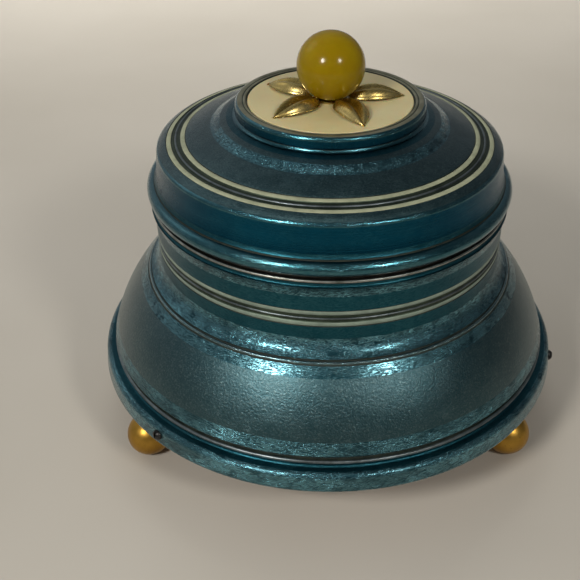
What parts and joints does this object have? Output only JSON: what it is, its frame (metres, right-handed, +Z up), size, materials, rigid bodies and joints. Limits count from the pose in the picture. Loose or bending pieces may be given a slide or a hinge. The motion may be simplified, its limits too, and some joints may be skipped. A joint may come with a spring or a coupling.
{
  "type": "musical powder box",
  "caption": "Round turned-metal powder box on ball feet: lift-off lid with knob and leaves, bell-shaped body, powder cup, and a wind-up tune movement under it.",
  "frame": {"origin": "on the table, on the axis of the box", "axes": "+Z up along the axis of the box; the feet stand at 90, 210 and 330 degrees from +X, so -Y is the front with a foot on each side"},
  "size_m": [0.1424, 0.1424, 0.1219],
  "materials": {
    "teal_aluminium": "teal anodised, scratch-brushed in bands, with cream lines in turned grooves",
    "ivory_disc": "smooth ivory celluloid",
    "gilt_leaves": "stamped and gilt, soft sheen",
    "olive_knob": "polished olive cast resin",
    "gilt_feet": "satin gilt",
    "board_wood": "plain stained plywood",
    "black_screws": "blackened round heads",
    "plain_aluminium": "spun, satin",
    "bright_steel": "plain",
    "tuned_steel": "ground and blued at the edges",
    "brass": "plain",
    "cast_plate": "fine sand-cast, nickelled"
  },
  "bodies": {
    "root": {"body_shell": "teal_aluminium", "ball_foot_1": "gilt_feet", "ball_foot_2": "gilt_feet", "ball_foot_3": "gilt_feet", "base_board": "board_wood", "base_screws": "black_screws", "powder_cup": "plain_aluminium", "foot_screws": "bright_steel", "plate_screws": "bright_steel", "bridge_screws": "bright_steel", "comb_screws": "bright_steel", "ratchet_click": "bright_steel", "comb": "tuned_steel", "plunger_bush": "brass", "movement_plate": "cast_plate", "comb_base": "cast_plate", "barrel_bridge": "cast_plate", "cylinder_post": "cast_plate", "governor_bracket": "cast_plate"},
    "lid": {"lid_shell": "teal_aluminium", "medallion_disc": "ivory_disc", "leaf_rosette": "gilt_leaves", "knob_ball": "olive_knob", "knob_washer": "bright_steel", "knob_screw": "bright_steel"},
    "winder": {"winding_arbor": "bright_steel", "ratchet_wheel": "bright_steel", "winding_key": "brass"},
    "barrel": {"spring_barrel": "brass", "great_wheel": "brass", "mainspring": "tuned_steel"},
    "cylinder": {"cylinder_drum": "brass", "tune_pins": "brass", "cylinder_pinion": "brass", "train_wheel": "brass"},
    "governor": {"governor_wheel": "brass", "governor_pinion": "brass"},
    "fan": {"worm_shaft": "tuned_steel", "governor_fan": "tuned_steel", "stop_disc": "brass"},
    "plunger": {"stop_plunger": "bright_steel", "stop_finger": "bright_steel", "plunger_spring": "bright_steel"}
  },
  "joints": [
    {"name": "lid_lift", "type": "slide", "parent": "root", "child": "lid", "axis": [0, 0, 1], "range_m": [0, 0.06]},
    {"name": "key_wind", "type": "hinge", "parent": "root", "child": "winder", "pos_m": [-0.01599, 0, 0.0301], "axis": [0, 0, 1], "continuous": true},
    {"name": "cylinder_spin", "type": "hinge", "parent": "root", "child": "cylinder", "pos_m": [0.016, 0, 0.04328], "axis": [1, 0, 0], "continuous": true},
    {"name": "barrel_spin", "type": "hinge", "parent": "root", "child": "barrel", "pos_m": [-0.01599, 0, 0.033], "axis": [0, 0, 1], "continuous": true},
    {"name": "governor_spin", "type": "hinge", "parent": "root", "child": "governor", "pos_m": [0.0337, 0.0084, 0.04328], "axis": [1, 0, 0], "continuous": true},
    {"name": "fan_spin", "type": "hinge", "parent": "root", "child": "fan", "pos_m": [0.03571, 0.01386, 0.045], "axis": [0, 0, 1], "continuous": true},
    {"name": "plunger_slide", "type": "slide", "parent": "root", "child": "plunger", "axis": [0, 0, 1], "range_m": [0, 0.003], "deforming": ["plunger_spring"]}
  ],
  "couplings": [
    {"joint": "barrel_spin", "follows": "cylinder_spin", "ratio": 0.26667},
    {"joint": "governor_spin", "follows": "cylinder_spin", "ratio": -6},
    {"joint": "fan_spin", "follows": "cylinder_spin", "ratio": 168},
    {"joint": "plunger_slide", "follows": "lid_lift", "ratio": 0.05}
  ]
}
